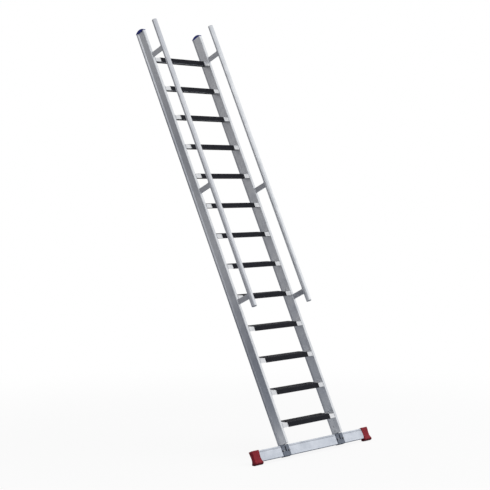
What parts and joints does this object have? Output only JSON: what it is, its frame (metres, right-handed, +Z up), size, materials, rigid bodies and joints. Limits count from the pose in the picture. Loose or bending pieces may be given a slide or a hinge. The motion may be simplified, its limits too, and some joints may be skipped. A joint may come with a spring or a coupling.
{
  "type": "leaning step ladder",
  "caption": "Leaning aluminium step ladder with ribbed tread covers, a tube handrail along each stile, capped stile ends and a wide stabiliser bar with boots at its foot.",
  "frame": {"origin": "on the floor, under the centre of the whole ladder's bounding box", "axes": "+X to the right of a person facing the steps, +Y away from that person towards the wall, +Z up"},
  "size_m": [1.335, 1.5286, 3.2634],
  "materials": {
    "stile_aluminium": "extruded, mill finish",
    "step_aluminium": "extruded, mill finish",
    "rail_aluminium": "drawn tube, satin",
    "bracket_aluminium": "flat bar, satin",
    "bar_aluminium": "extruded, mill finish",
    "rivet_aluminium": "smooth",
    "cover_rubber": "ribbed, matt",
    "boot_rubber": "moulded, matt",
    "cap_plastic": "moulded, fine grain",
    "plug_plastic": "moulded, fine grain",
    "foot_steel": "dark zinc plated",
    "fastener_steel": "zinc plated"
  },
  "bodies": {
    "root": {"foot_bolts": "fastener_steel", "foot_bracket_left": "foot_steel", "foot_bracket_right": "foot_steel", "foot_nuts": "fastener_steel", "foot_rivets": "rivet_aluminium", "foot_washers": "fastener_steel", "handrail_bottom_plug_left": "plug_plastic", "handrail_bottom_plug_right": "plug_plastic", "handrail_bracket_lower_left": "bracket_aluminium", "handrail_bracket_lower_right": "bracket_aluminium", "handrail_bracket_middle_left": "bracket_aluminium", "handrail_bracket_middle_right": "bracket_aluminium", "handrail_bracket_upper_left": "bracket_aluminium", "handrail_bracket_upper_right": "bracket_aluminium", "handrail_left": "rail_aluminium", "handrail_right": "rail_aluminium", "handrail_top_plug_left": "plug_plastic", "handrail_top_plug_right": "plug_plastic", "stabiliser_bar": "bar_aluminium", "stabiliser_boot_left": "boot_rubber", "stabiliser_boot_right": "boot_rubber", "step_01": "step_aluminium", "step_02": "step_aluminium", "step_03": "step_aluminium", "step_04": "step_aluminium", "step_05": "step_aluminium", "step_06": "step_aluminium", "step_07": "step_aluminium", "step_08": "step_aluminium", "step_09": "step_aluminium", "step_10": "step_aluminium", "step_11": "step_aluminium", "step_12": "step_aluminium", "step_13": "step_aluminium", "stile_cap_left": "cap_plastic", "stile_cap_right": "cap_plastic", "stile_left": "stile_aluminium", "stile_right": "stile_aluminium", "tread_cover_01": "cover_rubber", "tread_cover_02": "cover_rubber", "tread_cover_03": "cover_rubber", "tread_cover_04": "cover_rubber", "tread_cover_05": "cover_rubber", "tread_cover_06": "cover_rubber", "tread_cover_07": "cover_rubber", "tread_cover_08": "cover_rubber", "tread_cover_09": "cover_rubber", "tread_cover_10": "cover_rubber", "tread_cover_11": "cover_rubber", "tread_cover_12": "cover_rubber", "tread_cover_13": "cover_rubber"}
  },
  "joints": []
}
